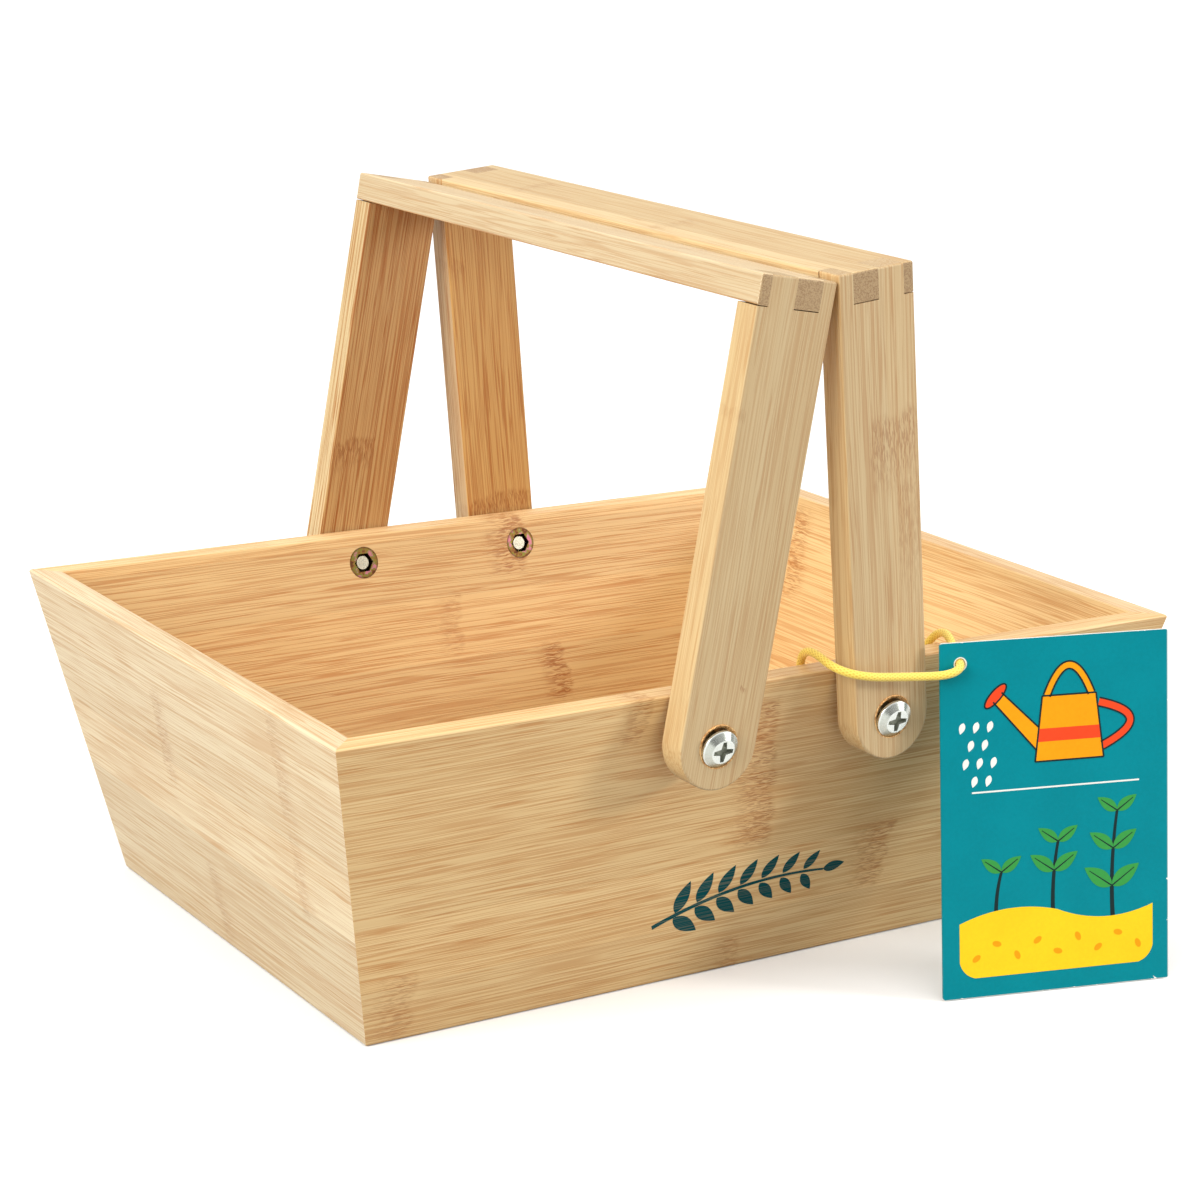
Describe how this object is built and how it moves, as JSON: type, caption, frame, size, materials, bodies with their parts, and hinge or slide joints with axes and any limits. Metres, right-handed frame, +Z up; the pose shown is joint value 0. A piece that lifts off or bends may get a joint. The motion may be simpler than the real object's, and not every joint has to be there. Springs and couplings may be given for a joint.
{
  "type": "garden trug basket",
  "caption": "Bamboo-board garden trug: open tray with four outward-sloping mitred walls and swing carrying handles pivoting on screws, with a card hang tag on an elastic cord.",
  "frame": {"origin": "middle of the tray's footprint, on the ground", "axes": "+X along the front wall to the right, +Y from the front wall to the back wall, +Z up"},
  "size_m": [0.2996, 0.2816, 0.2231],
  "materials": {
    "tray_bamboo": "satin",
    "handle_bamboo": "satin",
    "bright_zinc": "zinc plated",
    "yellow_zinc": "yellow passivated zinc",
    "printed_card": "matt print",
    "elastic_cord": "braided"
  },
  "bodies": {
    "tray": {"front_wall": "tray_bamboo", "back_wall": "tray_bamboo", "left_end_wall": "tray_bamboo", "right_end_wall": "tray_bamboo", "base_panel": "tray_bamboo", "pivot_screw_left_front": "bright_zinc", "pivot_screw_left_back": "bright_zinc", "pivot_screw_right_front": "bright_zinc", "pivot_screw_right_back": "bright_zinc", "threaded_insert_left_front": "yellow_zinc", "threaded_insert_left_back": "yellow_zinc", "threaded_insert_right_front": "yellow_zinc", "threaded_insert_right_back": "yellow_zinc", "tag_cord": "elastic_cord", "cord_knot": "elastic_cord"},
    "left_handle": {"left_handle_front_leg": "handle_bamboo", "left_handle_back_leg": "handle_bamboo", "left_handle_grip_bar": "handle_bamboo"},
    "right_handle": {"right_handle_front_leg": "handle_bamboo", "right_handle_back_leg": "handle_bamboo", "right_handle_grip_bar": "handle_bamboo"},
    "tag": {"hang_tag": "printed_card"}
  },
  "joints": [
    {"name": "left_handle_swing", "type": "hinge", "parent": "tray", "child": "left_handle", "pos_m": [-0.0315, 0, 0.086], "axis": [0, -1, 0], "range_deg": [0, 131]},
    {"name": "right_handle_swing", "type": "hinge", "parent": "tray", "child": "right_handle", "pos_m": [0.0315, 0, 0.086], "axis": [0, 1, 0], "range_deg": [0, 127.5], "deforming": ["tag_cord", "cord_knot"]},
    {"name": "tag_swing", "type": "hinge", "parent": "tray", "child": "tag", "pos_m": [0.05106, -0.12572, 0.10123], "axis": [-0.2474, -0.9565, 0.1547], "range_deg": [0, 75], "deforming": ["tag_cord"]}
  ]
}
